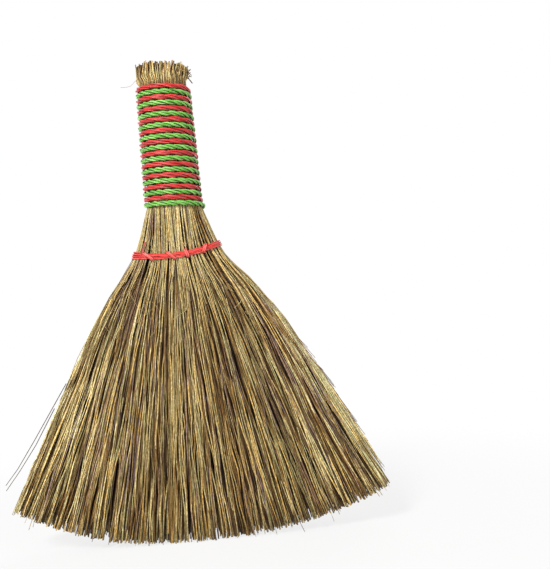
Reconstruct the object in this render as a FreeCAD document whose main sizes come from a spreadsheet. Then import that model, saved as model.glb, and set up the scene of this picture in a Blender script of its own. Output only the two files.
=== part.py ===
import FreeCAD, Part
import math
import os
import random
from collections import namedtuple

# A hand broom of grass stalks. Flat bundles of stalks lie side by side and are bound twice: a red and a green
# cord wind round the grip, and a stitched cord goes round the waist, below which the bundles spread into a fan.
# The broom stands on its tips: +Z runs up to the butt end, the fan spreads along X, and -Y is the front.

Vector = FreeCAD.Vector

SIZES = {
    # Heights, from the lowest tips upwards
    "waist_height": 176.0,
    "neck_length": 33.0,
    "butt_length": 11.0,
    # The bound stalks, without their cords
    "butt_diameter": 34.5,
    "grip_top_diameter": 29.7,
    "grip_foot_diameter": 32.2,
    "waist_width": 57.0,
    "waist_thickness": 22.0,
    # The fan, whose edges bow outwards
    "shoulder_width": 97.0,
    "middle_width": 166.0,
    "middle_height": 96.0,
    "fan_width": 237.5,
    "fan_thickness": 25.0,
    "tip_arc_radius": 285.0,
    # Single stalks
    "bundle_count": 5,
    "stalk_layers": 3,
    "stalk_diameter": 1.25,
    "stalk_tip_diameter": 1.0,
    "stalk_clearance": 0.15,
    "butt_unevenness": 3.0,
    "tip_unevenness": 4.0,
    # Stalks pressed together inside a bundle: their ribs on each face, and the spacing of their trimmed tips
    "core_clearance": 0.25,
    "rib_count": 8,
    "rib_depth": 0.4,
    "tip_rib_depth": 1.2,
    "tip_spacing": 3.2,
    # Grip winding
    "grip_turns": 11,
    "grip_cord_diameter": 3.15,
    "grip_cord_gap": 0.26,
    "cord_clearance": 0.2,
    # Waist cord and its stitches
    "waist_cord_diameter": 1.7,
    "waist_cord_gap": 0.5,
    "waist_sag": 4.4,
    "waist_slant": 3.0,
    "stitch_cord_diameter": 1.5,
    "stitch_clearance": 0.3,
    "stitch_gap_clearance": 0.65,
    "stitch_gap_length": 24.0,
    "stitch_tail_length": 7.5,
    "stitch_tail_lean": 2.0,
    "stitch_start_length": 8.0,
}

# Shares of a turn, counted from the left end over the front
BACK = 0.75
WAIST_STEP = (0.92, 0.98)
WAIST_TURNS = 1.9
# How finely wound paths are divided for their arcs, and for measuring the gap between turns
GRIP_ARCS_PER_TURN = 4
WAIST_ARCS_PER_TURN = 16
POINTS_PER_TURN = 60
TRIM_ROUNDS = 20
STALK_SIDES = 6
LEAST_SELF_GAP = 0.4
GROWTH_SEED = 7

doc = FreeCAD.newDocument("hand_broom")
sheet = doc.addObject("Spreadsheet::Sheet", "sizes")
for row, (alias, value) in enumerate(SIZES.items(), start=1):
    sheet.set(f"A{row}", alias.replace("_", " "))
    sheet.set(f"B{row}", str(value))
    sheet.setAlias(f"B{row}", alias)
doc.recompute()


def size(alias):
    return float(sheet.get(alias))


# Heights and shares that follow from the sizes
bundle_count = int(size("bundle_count"))
stalk_layers = int(size("stalk_layers"))
layer_step = size("stalk_diameter") + size("stalk_clearance")
winding_step = size("grip_cord_diameter") + size("grip_cord_gap")
grip_foot_height = size("waist_height") + size("neck_length")
grip_top_height = grip_foot_height + 2 * size("grip_turns") * winding_step
butt_height = grip_top_height + size("butt_length")
stitch_gap = size("stitch_cord_diameter") + 2 * size("stitch_gap_clearance")


def trim_height(x):
    """The arc along which the tips are trimmed."""
    radius = size("tip_arc_radius")
    return radius - math.sqrt(radius**2 - x**2)


# All stalks at one height lie in a slot-shaped outline: two straight sides and two round ends, or a circle.
# The bundles are parted at equal pitches along X, or at equal angles where the pitch is 0. Nesting is how far the
# layers of stalks still lie over each other, from 1 to 0, where they have fallen into one row.
Section = namedtuple("Section", "height straight radius stalk nesting gap pitch")


def round_section(height, diameter):
    return Section(
        height=height,
        straight=0.0,
        radius=diameter / 2,
        stalk=size("stalk_diameter"),
        nesting=1.0,
        gap=size("stalk_clearance"),
        pitch=0.0,
    )


def fan_section(height, width, nesting, gap):
    """The slot through the fan at a height, as long as the fan is wide there."""
    share = 1 - height / size("waist_height")
    thickness = size("waist_thickness") + share * (size("fan_thickness") - size("waist_thickness"))
    return Section(
        height=height,
        straight=(width - thickness) / 2,
        radius=thickness / 2,
        stalk=size("stalk_diameter") + share * (size("stalk_tip_diameter") - size("stalk_diameter")),
        nesting=nesting,
        gap=gap,
        pitch=(width + gap) / bundle_count,
    )


def foot_width():
    """Width at height 0, where the edges of the fan run on past their trimmed tips."""
    corner_height = trim_height(size("fan_width") / 2)
    spread = (size("fan_width") - size("middle_width")) / (size("middle_height") - corner_height)
    return size("fan_width") + spread * corner_height


shoulder_height = size("waist_height") - size("stitch_gap_length")
middle_nesting = size("middle_height") / shoulder_height

FOOT = fan_section(0.0, foot_width(), 0.0, size("stalk_clearance"))
MIDDLE = fan_section(size("middle_height"), size("middle_width"), middle_nesting, size("stalk_clearance"))
SHOULDER = fan_section(shoulder_height, size("shoulder_width"), 1.0, size("stalk_clearance"))
WAIST = fan_section(size("waist_height"), size("waist_width"), 1.0, stitch_gap)
GRIP_FOOT = round_section(grip_foot_height, size("grip_foot_diameter"))
GRIP_TOP = round_section(grip_top_height, size("grip_top_diameter"))
BUTT = round_section(butt_height, size("butt_diameter"))
SECTIONS = [FOOT, MIDDLE, SHOULDER, WAIST, GRIP_FOOT, GRIP_TOP, BUTT]

# The inner stalks end where the shortest outer ones do
butt_spread = (size("butt_diameter") - size("grip_top_diameter")) / size("butt_length")
core_top_diameter = size("butt_diameter") - butt_spread * size("butt_unevenness")
CORE_TOP = round_section(butt_height - size("butt_unevenness"), core_top_diameter)
CORE_SECTIONS = SECTIONS[:-1] + [CORE_TOP]


def layer_radius(section, layer):
    """End radius of a layer of stalks, measured at their middles; layer 0 is the outermost."""
    depth = layer * section.nesting * (section.stalk + size("stalk_clearance"))
    return section.radius - section.stalk / 2 - depth


def core_radius(section):
    """End radius of the inner stalks, clear of all the layers."""
    layers = 1 + (stalk_layers - 1) * section.nesting
    depth = layers * (section.stalk + size("stalk_clearance"))
    return section.radius - depth - size("core_clearance")


def half_loop(section, radius):
    return math.pi * radius + 2 * section.straight


def along_at(section, radius, x):
    """Distance along half a loop, from its left end, to the point at x."""
    beyond = abs(x) - section.straight
    if beyond < 0:
        return half_loop(section, radius) / 2 + x
    round_end = radius * math.acos(min(1.0, beyond / radius))
    return round_end if x < 0 else half_loop(section, radius) - round_end


def spot_along(section, radius, along):
    """X, and distance from the middle plane, of the point that far along half a loop."""
    quarter = math.pi * radius / 2
    from_right = half_loop(section, radius) - along
    if along < quarter:
        angle = along / radius
        return -section.straight - radius * math.cos(angle), radius * math.sin(angle)
    if from_right < quarter:
        angle = from_right / radius
        return section.straight + radius * math.cos(angle), radius * math.sin(angle)
    return along - half_loop(section, radius) / 2, radius


def gap_at(section, radius, number):
    """X of the gap between bundle number - 1 and bundle number, counted from the left."""
    if section.pitch:
        return (number - bundle_count / 2) * section.pitch
    return -radius * math.cos(math.pi * number / bundle_count)


def bundle_span(section, radius, bundle):
    """Where a bundle starts and ends along half a loop."""
    left = -section.straight - radius
    right = section.straight + radius
    if bundle > 0:
        left = gap_at(section, radius, bundle) + section.gap / 2
    if bundle < bundle_count - 1:
        right = gap_at(section, radius, bundle + 1) - section.gap / 2
    return along_at(section, radius, left), along_at(section, radius, right)


def bundle_point(section, radius, bundle, share, side):
    """The point at a share of a bundle's width; side is -1 on the front and 1 on the back."""
    start, end = bundle_span(section, radius, bundle)
    x, depth = spot_along(section, radius, start + share * (end - start))
    return Vector(x, side * depth, section.height)


def between(first, second, share):
    return first + (second - first) * share


def trimmed_tip(upper, foot, lift):
    """Where a stalk that runs towards its foot point meets the trimmed arc, raised by lift."""
    share = 1.0
    for _ in range(TRIM_ROUNDS):
        x = between(upper, foot, share).x
        share = (upper.z - trim_height(x) - lift) / (upper.z - foot.z)
    return between(upper, foot, share)


def ring(centre, diameter):
    """A level polygon round a point."""
    corners = []
    for side in range(STALK_SIDES + 1):
        angle = 2 * math.pi * side / STALK_SIDES
        corners.append(centre + Vector(math.cos(angle), math.sin(angle), 0) * (diameter / 2))
    return Part.makePolygon(corners)


def stalks_per_layer(layer, bundle):
    """As many stalks as find room side by side at the tightest height."""
    room = []
    for section in (WAIST, GRIP_FOOT, GRIP_TOP):
        start, end = bundle_span(section, layer_radius(section, layer), bundle)
        room.append((end - start) / layer_step)
    return int(min(room))


def stalk_path(layer, bundle, share, tip_share, side):
    """The middles of one stalk at each section, at shares of its bundle's width."""
    path = []
    for section in SECTIONS:
        own_share = share if section.nesting == 1.0 else tip_share
        path.append(bundle_point(section, layer_radius(section, layer), bundle, own_share, side))
    return path


def stalk(path, growth):
    """One stalk, from its uneven tip to its uneven butt end."""
    path[0] = trimmed_tip(path[1], path[0], growth.random() * size("tip_unevenness"))
    shortfall = growth.random() * size("butt_unevenness") / size("butt_length")
    path[-1] = between(path[-1], path[-2], shortfall)
    rings = [ring(point, section.stalk) for point, section in zip(path, SECTIONS)]
    return Part.makeLoft(rings, True, True)


def stalk_paths(bundle, side):
    """Paths of a face's stalks, which lie in layers at the grip and fall into one row at the tips."""
    spots = []
    for layer in range(stalk_layers):
        count = stalks_per_layer(layer, bundle)
        spots += [((number + 0.5) / count, layer) for number in range(count)]

    def shoulder_x(spot):
        share, layer = spot
        return bundle_point(SHOULDER, layer_radius(SHOULDER, layer), bundle, share, side).x

    spots.sort(key=shoulder_x)
    paths = []
    for number, (share, layer) in enumerate(spots):
        paths.append(stalk_path(layer, bundle, share, (number + 0.5) / len(spots), side))
    return paths


def outer_stalks(label, bundle, side, growth):
    """The separate stalks on one face of a bundle."""
    stalks = [stalk(path, growth) for path in stalk_paths(bundle, side)]
    feature = doc.addObject("Part::Feature", label)
    feature.Shape = Part.makeCompound(stalks)
    feature.Placement = FreeCAD.Placement()
    return feature


def ribbed_edge(section, bundle, side):
    """Points along one face of a bundle's inner stalks: the crests and grooves of its ribs, from the left."""
    steps = 2 * int(size("rib_count"))
    depth = size("tip_rib_depth") if section is FOOT else size("rib_depth")
    points = []
    for step in range(steps + 1):
        radius = core_radius(section) - (0 if step % 2 else depth)
        points.append(bundle_point(section, radius, bundle, step / steps, side))
    return points


def ribbed_outline(section, bundle):
    """Level outline of a bundle's inner stalks. Its faces share a point at the ends of the fan."""
    front = ribbed_edge(section, bundle, -1)
    back = ribbed_edge(section, bundle, 1)
    if bundle == 0:
        back.pop(0)
    if bundle == bundle_count - 1:
        back.pop()
    corners = front + back[::-1]
    return Part.makePolygon(corners + corners[:1])


def inner_stalks(label, bundle, trim):
    """The pressed stalks inside a bundle: a ribbed loft whose tips are trimmed."""
    outlines = []
    for section in CORE_SECTIONS:
        outline = doc.addObject("Part::Feature", f"{label}_outline")
        outline.Shape = ribbed_outline(section, bundle)
        outlines.append(outline)
    loft = doc.addObject("Part::Loft", f"{label}_loft")
    loft.Sections = outlines
    loft.Solid = True
    loft.Ruled = True
    cut = doc.addObject("Part::Cut", label)
    cut.Base = loft
    cut.Tool = trim
    return cut


def tip_trim(growth):
    """What is cut away below the tips: everything under a jagged arc, which touches height 0 in the middle."""
    half_width = FOOT.straight + FOOT.radius
    teeth = math.ceil(half_width / size("tip_spacing"))
    edge = []
    for number in range(-2 * teeth, 2 * teeth + 1):
        x = number * half_width / (2 * teeth)
        lift = growth.random() * size("tip_unevenness") / 2
        if number % 2:
            lift += size("tip_unevenness") / 2
        edge.append(Vector(x, -size("fan_thickness"), trim_height(x) + (lift if number else 0)))
    below = -size("tip_unevenness")
    edge.append(Vector(half_width, -size("fan_thickness"), below))
    edge.append(Vector(-half_width, -size("fan_thickness"), below))
    outline = doc.addObject("Part::Feature", "tip_trim_outline")
    outline.Shape = Part.makePolygon(edge + edge[:1])
    trim = doc.addObject("Part::Extrusion", "tip_trim")
    trim.Base = outline
    trim.DirMode = "Custom"
    trim.Dir = Vector(0, 1, 0)
    trim.Solid = True
    trim.setExpression("LengthFwd", "sizes.fan_thickness * 2")
    return trim


def loop_point(turn, height, offset):
    """A point on the bound stalks at a share of a turn from the left over the front, that far off them."""
    upper = next(number for number, s in enumerate(SECTIONS) if number and s.height >= height)
    points = []
    for section in SECTIONS[upper - 1 : upper + 1]:
        radius = section.radius + offset
        share = 2 * (turn % 1.0)
        side = -1 if share < 1 else 1
        along = (share if share < 1 else 2 - share) * half_loop(section, radius)
        x, depth = spot_along(section, radius, along)
        points.append(Vector(x, side * depth, section.height))
    rise = (height - points[0].z) / (points[1].z - points[0].z)
    return between(points[0], points[1], rise)


def heading(path, turn):
    """Unit tangent of a path given as a function of its turns."""
    near = 1e-4
    return (path(turn + near) - path(turn - near)).normalize()


def arc_between(start, corner, end):
    """The arc from start to end that is tangent to the two equal legs through a corner."""
    middle = (start + end) * 0.5
    half_turn_cosine = (end - start).Length / 2 / (corner - start).Length
    return Part.Arc(start, corner + (middle - corner) / (1 + half_turn_cosine), end).toShape()


def biarc(start, start_heading, end, end_heading):
    """Two tangent arcs that leave start and reach end along the given headings."""
    chord = end - start
    total = start_heading + end_heading
    bend = 2 * (1 - start_heading.dot(end_heading))
    reach = chord.dot(total)
    leg = (math.sqrt(reach**2 + bend * chord.dot(chord)) - reach) / bend
    first = start + start_heading * leg
    second = end - end_heading * leg
    joint = (first + second) * 0.5
    return [arc_between(start, first, joint), arc_between(joint, second, end)]


def wound_route(path, first_turn, last_turn, steps_per_turn, end_run):
    """A wire of biarcs along a wound path, with straight ends."""
    steps = math.ceil((last_turn - first_turn) * steps_per_turn)
    turns = [first_turn + (last_turn - first_turn) * step / steps for step in range(steps + 1)]
    start, end = path(first_turn), path(last_turn)
    edges = [Part.makeLine(start - heading(path, first_turn) * end_run, start)]
    for turn, following in zip(turns, turns[1:]):
        edges += biarc(path(turn), heading(path, turn), path(following), heading(path, following))
    edges.append(Part.makeLine(end, end + heading(path, last_turn) * end_run))
    return Part.Wire(edges)


def rounded_route(points, radius):
    """A wire of straight runs with an arc of one radius at each point between them."""
    edges = []
    start = points[0]
    for before, corner, after in zip(points, points[1:], points[2:]):
        arriving = (corner - before).normalize()
        leaving = (after - corner).normalize()
        leg = radius * math.tan(arriving.getAngle(leaving) / 2)
        edges.append(Part.makeLine(start, corner - arriving * leg))
        start = corner + leaving * leg
        edges.append(arc_between(corner - arriving * leg, corner, start))
    edges.append(Part.makeLine(start, points[-1]))
    return Part.Wire(edges)


def print_self_gap(label, path, first_turn, last_turn, diameter):
    """Measures the least gap between neighbouring turns on points, and prints it."""
    steps = int((last_turn - first_turn) * POINTS_PER_TURN)
    points = [path(first_turn + step / POINTS_PER_TURN) for step in range(steps + 1)]
    least = math.inf
    for number, point in enumerate(points):
        for other in points[number + POINTS_PER_TURN // 2 :]:
            least = min(least, (point - other).Length - diameter)
    print(f"{label}: least gap to itself {least:.2f} mm")
    if least <= LEAST_SELF_GAP:
        raise RuntimeError(f"{label} comes too close to itself")


def cord(label, route, diameter_alias):
    """A round cord swept along a wire."""
    spine = doc.addObject("Part::Feature", f"{label}_route")
    spine.Shape = route
    first = route.OrderedEdges[0]
    start = first.valueAt(first.FirstParameter)
    direction = first.tangentAt(first.FirstParameter)
    section = doc.addObject("Part::Circle", f"{label}_section")
    section.Placement = FreeCAD.Placement(start, FreeCAD.Rotation(Vector(0, 0, 1), direction))
    section.setExpression("Radius", f"sizes.{diameter_alias} / 2")
    sweep = doc.addObject("Part::Sweep", label)
    sweep.Sections = [section]
    sweep.Spine = (spine, [])
    sweep.Solid = True
    sweep.Transition = "Transformed"
    return sweep


def grip_cord(label, lead):
    """One cord of the grip winding, which runs down from left to right over the front."""
    diameter = size("grip_cord_diameter")
    offset = size("cord_clearance") + diameter / 2
    first_height = grip_top_height - diameter / 2 - lead

    def path(turn):
        return loop_point(BACK + turn, first_height - 2 * winding_step * turn, offset)

    turns = int(size("grip_turns"))
    print_self_gap(label, path, 0, turns, diameter)
    route = wound_route(path, 0, turns, GRIP_ARCS_PER_TURN, diameter)
    return cord(label, route, "grip_cord_diameter")


def waist_band_height(x):
    """Height of the middle of the waist cord's two rounds, which sag in the middle and slant."""
    share = x / (size("waist_width") / 2)
    return size("waist_height") + size("waist_sag") * share**2 + size("waist_slant") / 2 * share


def waist_path(turn):
    """Two level rounds of the waist cord, with a step up on the back near the left end."""
    step_start, step_end = WAIST_STEP
    share = min(1.0, max(0.0, (turn - step_start) / (step_end - step_start)))
    rise = share * share * (3 - 2 * share) - 0.5
    offset = size("cord_clearance") + size("waist_cord_diameter") / 2
    level = loop_point(turn, size("waist_height"), offset)
    pitch = size("waist_cord_diameter") + size("waist_cord_gap")
    return loop_point(turn, waist_band_height(level.x) + rise * pitch, offset)


def waist_cord(label):
    diameter = size("waist_cord_diameter")
    print_self_gap(label, waist_path, 0, WAIST_TURNS, diameter)
    route = wound_route(waist_path, 0, WAIST_TURNS, WAIST_ARCS_PER_TURN, diameter)
    return cord(label, route, "waist_cord_diameter")


def gap_point(number, height):
    """Middle of a gap between bundles near the waist, and the depth of the stalks there as its Y."""
    neighbour = GRIP_FOOT if height > WAIST.height else SHOULDER
    ends = []
    for section in (WAIST, neighbour):
        middle_layer = (layer_radius(section, 0) + core_radius(section)) / 2
        ends.append(Vector(gap_at(section, middle_layer, number), section.radius, section.height))
    return between(ends[0], ends[1], (height - WAIST.height) / (neighbour.height - WAIST.height))


def stitch_points():
    """Corners of the stitch cord: at each gap it comes forward under the waist cord and goes back over it."""
    bend = (size("waist_cord_diameter") + size("stitch_cord_diameter")) / 2 + size("stitch_clearance")
    reach = (size("waist_cord_diameter") + size("waist_cord_gap")) / 2 + bend
    seat = size("cord_clearance") + size("waist_cord_diameter") / 2
    points = []
    for number in range(bundle_count - 1, 0, -1):
        middle = waist_band_height(gap_at(WAIST, WAIST.radius, number))
        low = gap_point(number, middle - reach)
        high = gap_point(number, middle + reach)
        back = Vector(0, gap_point(number, middle).y + seat + bend, 0)
        low.y = high.y = 0
        if not points:
            start_direction = Vector(1, 0, -1).normalize()
            points.append(low + back + start_direction * size("stitch_start_length"))
        points += [low + back, low - back, high - back]
        if number > 1:
            points.append(high + back)
    tail = Vector(-size("stitch_tail_lean"), -size("stitch_tail_lean"), size("stitch_tail_length"))
    points.append(points[-1] + tail)
    return points, bend


def stitch_cord(label):
    points, bend = stitch_points()
    print(f"{label}: bends of {bend:.2f} mm")
    return cord(label, rounded_route(points, bend), "stitch_cord_diameter")


def build():
    growth = random.Random(GROWTH_SEED)
    trim = tip_trim(growth)
    parts = []
    for bundle in range(bundle_count):
        name = f"bundle_{bundle + 1}"
        parts.append(inner_stalks(f"{name}_inner_stalks", bundle, trim))
        parts.append(outer_stalks(f"{name}_front_stalks", bundle, -1, growth))
        parts.append(outer_stalks(f"{name}_back_stalks", bundle, 1, growth))
    parts.append(grip_cord("grip_cord_red", 0.0))
    parts.append(grip_cord("grip_cord_green", winding_step))
    parts.append(waist_cord("waist_cord"))
    parts.append(stitch_cord("waist_stitch_cord"))
    return parts


def export(parts):
    doc.recompute()
    for item in doc.Objects:
        if "Invalid" in item.State or "Error" in item.State:
            raise RuntimeError(f"{item.Label} did not compute")
    for part in parts:
        if part.Shape.isNull() or not part.Shape.isValid():
            raise RuntimeError(f"{part.Label} has no valid shape")
    os.makedirs("parts", exist_ok=True)
    for part in parts:
        part.Shape.exportStep(f"parts/{part.Label}.step")
        print(f"{part.Label}: {len(part.Shape.Solids)} solids, {part.Shape.Volume / 1000:.2f} cm3")


export(build())
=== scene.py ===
import math
from collections import namedtuple
from functools import partialmethod

import bmesh
import bpy
import numpy as np
from mathutils import Matrix, Vector


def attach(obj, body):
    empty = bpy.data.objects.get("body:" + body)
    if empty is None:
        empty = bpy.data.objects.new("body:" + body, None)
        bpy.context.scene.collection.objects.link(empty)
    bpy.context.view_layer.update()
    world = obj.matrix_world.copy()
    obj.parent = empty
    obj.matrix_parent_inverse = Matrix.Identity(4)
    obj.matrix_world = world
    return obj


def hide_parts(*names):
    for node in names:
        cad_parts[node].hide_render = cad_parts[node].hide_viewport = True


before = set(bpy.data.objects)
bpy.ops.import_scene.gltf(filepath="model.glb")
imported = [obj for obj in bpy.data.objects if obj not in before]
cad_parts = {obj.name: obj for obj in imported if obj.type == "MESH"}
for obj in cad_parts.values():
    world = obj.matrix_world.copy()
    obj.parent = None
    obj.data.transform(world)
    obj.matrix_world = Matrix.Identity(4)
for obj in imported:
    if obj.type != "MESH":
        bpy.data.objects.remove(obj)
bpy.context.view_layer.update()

# A hand broom of grass stalks, standing on its tips. Lengths are in millimetres until a mesh is made.
# The fan spreads along X, the grip points up along Z, and the camera looks at the front, along +Y.

rng = np.random.default_rng(20)
MM = 0.001
TURN = 2 * math.pi
FRONT, BACK = -1, 1
LEFT, RIGHT = -1, 1

# Sizes that the solids have too
WAIST_HEIGHT = 176.0
GRIP_FOOT_HEIGHT = 209.0
GRIP_TOP_HEIGHT = 284.0
BUTT_HEIGHT = 295.0
BUTT_DIAMETER = 34.5
GRIP_TOP_DIAMETER = 29.7
GRIP_FOOT_DIAMETER = 32.2
WAIST_WIDTH = 57.0
WAIST_THICKNESS = 22.0
SHOULDER_WIDTH = 97.0
SHOULDER_HEIGHT = 152.0
MIDDLE_WIDTH = 166.0
MIDDLE_HEIGHT = 96.0
FAN_WIDTH = 237.5
FAN_THICKNESS = 25.0
TIP_ARC_RADIUS = 285.0
BUNDLES = 5
STALK_GAP = 0.15
STITCH_GAP = 2.8
GRIP_TURNS = 11
GRIP_CORD_DIAMETER = 3.15
WINDING_STEP = 3.41
CORD_CLEARANCE = 0.2
BACK_OF_LOOP = 0.75


def trim_height(x):
    """The arc along which the tips are trimmed."""
    return TIP_ARC_RADIUS - math.sqrt(TIP_ARC_RADIUS**2 - x**2)


# All stalks at one height lie in a slot-shaped outline: two straight sides and two round ends, or a circle.
Section = namedtuple("Section", "height straight radius gap pitch")


def round_section(height, diameter):
    return Section(height, 0.0, diameter / 2, STALK_GAP, 0.0)


def fan_section(height, width, gap):
    """The slot through the fan at a height."""
    thickness = WAIST_THICKNESS + (1 - height / WAIST_HEIGHT) * (FAN_THICKNESS - WAIST_THICKNESS)
    return Section(height, (width - thickness) / 2, thickness / 2, gap, (width + gap) / BUNDLES)


# At height 0 the edges of the fan run on past their trimmed tips
CORNER_HEIGHT = trim_height(FAN_WIDTH / 2)
SPREAD = (FAN_WIDTH - MIDDLE_WIDTH) / (MIDDLE_HEIGHT - CORNER_HEIGHT)
FOOT = fan_section(0.0, FAN_WIDTH + SPREAD * CORNER_HEIGHT, STALK_GAP)
MIDDLE = fan_section(MIDDLE_HEIGHT, MIDDLE_WIDTH, STALK_GAP)
SHOULDER = fan_section(SHOULDER_HEIGHT, SHOULDER_WIDTH, STALK_GAP)
WAIST = fan_section(WAIST_HEIGHT, WAIST_WIDTH, STITCH_GAP)
GRIP_FOOT = round_section(GRIP_FOOT_HEIGHT, GRIP_FOOT_DIAMETER)
GRIP_TOP = round_section(GRIP_TOP_HEIGHT, GRIP_TOP_DIAMETER)
BUTT = round_section(BUTT_HEIGHT, BUTT_DIAMETER)
SECTIONS = [FOOT, MIDDLE, SHOULDER, WAIST, GRIP_FOOT, GRIP_TOP, BUTT]


def half_loop(section, radius):
    return math.pi * radius + 2 * section.straight


def along_at(section, radius, x):
    """Distance along half a loop, from its left end, to the point at x."""
    beyond = abs(x) - section.straight
    if beyond < 0:
        return half_loop(section, radius) / 2 + x
    round_end = radius * math.acos(min(1.0, beyond / radius))
    return round_end if x < 0 else half_loop(section, radius) - round_end


def spot_along(section, radius, along):
    """X, and distance from the middle plane, of the point that far along half a loop."""
    quarter = math.pi * radius / 2
    from_right = half_loop(section, radius) - along
    if along < quarter:
        angle = along / radius
        return -section.straight - radius * math.cos(angle), radius * math.sin(angle)
    if from_right < quarter:
        angle = from_right / radius
        return section.straight + radius * math.cos(angle), radius * math.sin(angle)
    return along - half_loop(section, radius) / 2, radius


def gap_at(section, radius, number):
    """X of the gap left of a bundle, by its number from the left."""
    if section.pitch:
        return (number - BUNDLES / 2) * section.pitch
    return -radius * math.cos(math.pi * number / BUNDLES)


def bundle_span(section, radius, bundle, gap):
    """Where a bundle starts and ends along half a loop."""
    left = -section.straight - radius
    right = section.straight + radius
    if bundle > 0:
        left = gap_at(section, radius, bundle) + gap / 2
    if bundle < BUNDLES - 1:
        right = gap_at(section, radius, bundle + 1) - gap / 2
    return along_at(section, radius, left), along_at(section, radius, right)


VISIBLE_GAP = 1.3  # loose stalks lean into the gaps beside the stitches
GAP_DEPTH = 3.0  # and close them behind the outer stalks
LEAST_LOOP = 0.3


def spot(section, bundle, share, depth, side):
    """The point at a share of a bundle's width, that deep under its face."""
    radius = max(LEAST_LOOP, section.radius - depth)
    gap = min(section.gap, VISIBLE_GAP) if depth < GAP_DEPTH else STALK_GAP
    start, end = bundle_span(section, radius, bundle, gap)
    x, y = spot_along(section, radius, start + share * (end - start))
    return np.array([x, side * y, section.height])


def sections_beside(height):
    """The sections below and above a height."""
    upper = next(n for n, s in enumerate(SECTIONS) if n and (s.height >= height or s is BUTT))
    return SECTIONS[upper - 1], SECTIONS[upper]


def section_at(height):
    """The outline at any height, between the sections."""
    lower, upper = sections_beside(height)
    rise = (height - lower.height) / (upper.height - lower.height)
    return Section(*(a + (b - a) * rise for a, b in zip(lower, upper)))


def face_depth(x, height):
    """Half the thickness of the broom at a place on its face."""
    section = section_at(height)
    beyond = max(0.0, abs(x) - section.straight)
    return math.sqrt(max(0.0, section.radius**2 - beyond**2))


def edge_at(y, height):
    """How far out the edge of the broom is at a place."""
    section = section_at(height)
    return section.straight + math.sqrt(section.radius**2 - y**2)


EDGE_TURN = 0.3  # near the edges of the fan the stalks still face forwards or back


def outward(points):
    """Unit vectors away from the middle of the broom, at each point of a strand."""
    straight = np.array([section_at(height).straight for height in points[:, 2]])
    away = points[:, :2].copy()
    away[:, 0] -= np.clip(away[:, 0], -straight, straight)
    away[:, 0] *= np.where(straight > 0, EDGE_TURN, 1.0)
    away /= np.maximum(np.linalg.norm(away, axis=1), 1e-6)[:, None]
    return np.c_[away, np.zeros(len(points))]


# How straw lies

# A strand is a line of points. Its tone chooses its hue, and its light says how bright it is, with painted
# light and shade. Its radii and its light are one number or one for each point.
Strand = namedtuple("Strand", "points radii tone light")

# How freely the stalks move, by height: the bindings hold them
HELD_HEIGHTS = [100.0, 150.0, 170.0, 181.0, 193.0, 207.0]
FREEDOM = [1.0, 0.65, 0.12, 0.12, 0.4, 0.0]
# How far the fan is drawn in on the left and on the right, by height
DRAWN_HEIGHTS = [15.0, 75.0, 150.0, 172.0]
LEFT_DRAW = [1.6, 3.8, 3.2, 0.0]
RIGHT_DRAW = [2.0, 3.8, 0.8, 0.0]
# How much lower the tips hang than the solids', from the left corner to the right one
DROP_PLACES = [-108.0, -84.0, -60.0, 0.0, 60.0, 90.0, 112.0]
TIP_DROP = [-1.4, 0.6, 1.6, 0.0, 1.6, 2.2, 2.8]
TIP_CUT, BUTT_CUT = 2.4, 3.2  # how uneven the cuts are
BROKEN_SHARE = 0.08
CLUMP_COUNTS = (3.1, 6.7, 11.4)  # to a bundle's width
CLUMP_CROWDING = 0.03


def within(share):
    return min(1.0, max(0.0, share))


def near(share, spread):
    """A place close to a share of a bundle's width."""
    return within(share + rng.normal(0, spread))


class Clumps:
    """How the stalks on one face of a bundle crowd together and part."""

    def __init__(self):
        self.waves = [(count, rng.uniform(0, TURN)) for count in CLUMP_COUNTS]

    def crowd(self, share):
        shifts = [math.sin(TURN * count * share + phase) / count for count, phase in self.waves]
        return within(share + CLUMP_CROWDING * sum(shifts))

    def hollow(self, share):
        """How far the stalks sink between two clumps, from 0 to 1."""
        wave = sum(math.cos(TURN * count * share + phase) for count, phase in self.waves)
        return 0.5 + 0.5 * wave / len(self.waves)


def flowing(marks, heights):
    """Points at the given heights on a line that runs through its marks without corners or overshoot."""
    marks = np.array(sorted(marks, key=lambda mark: mark[2]))
    runs = np.diff(marks[:, :2], axis=0) / np.diff(marks[:, 2])[:, None]
    agree = runs[:-1] * runs[1:] > 0
    total = np.where(agree, runs[:-1] + runs[1:], 1.0)
    inner = np.where(agree, 2 * runs[:-1] * runs[1:] / total, 0.0)
    slopes = np.vstack([runs[:1], inner, runs[-1:]])
    heights = np.asarray(heights, float)
    low = np.clip(np.searchsorted(marks[:, 2], heights) - 1, 0, len(marks) - 2)
    span = (marks[low + 1, 2] - marks[low, 2])[:, None]
    share = (heights - marks[low, 2])[:, None] / span
    rest = 1 - share
    line = marks[low, :2] * rest**2 * (1 + 2 * share) + marks[low + 1, :2] * share**2 * (3 - 2 * share)
    line += span * share * rest * (slopes[low] * rest - slopes[low + 1] * share)
    return np.c_[line, heights]


def drawn_in(points):
    """How far each point of a strand is moved sideways, where the edges of the fan are drawn in."""
    aside = points[:, 0] / (MIDDLE_WIDTH / 2)
    left = np.interp(points[:, 2], DRAWN_HEIGHTS, LEFT_DRAW) * np.clip(-aside, 0, 1)
    return left - np.interp(points[:, 2], DRAWN_HEIGHTS, RIGHT_DRAW) * np.clip(aside, 0, 1) ** 2


def loosened(points, sway, weave, jitter):
    """Lets a strand sway sideways, weave in and out of its face and bend a little at each point."""
    freedom = np.interp(points[:, 2], HELD_HEIGHTS, FREEDOM)
    points[:, 0] += drawn_in(points)
    for axis, amount in ((0, sway), (1, weave)):
        wave_length = rng.uniform(45, 130)
        phase = rng.uniform(0, TURN)
        points[:, axis] += amount * freedom * np.sin(TURN * points[:, 2] / wave_length + phase)
        points[:, axis] += freedom * rng.normal(0, jitter, len(points))
    return points


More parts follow.
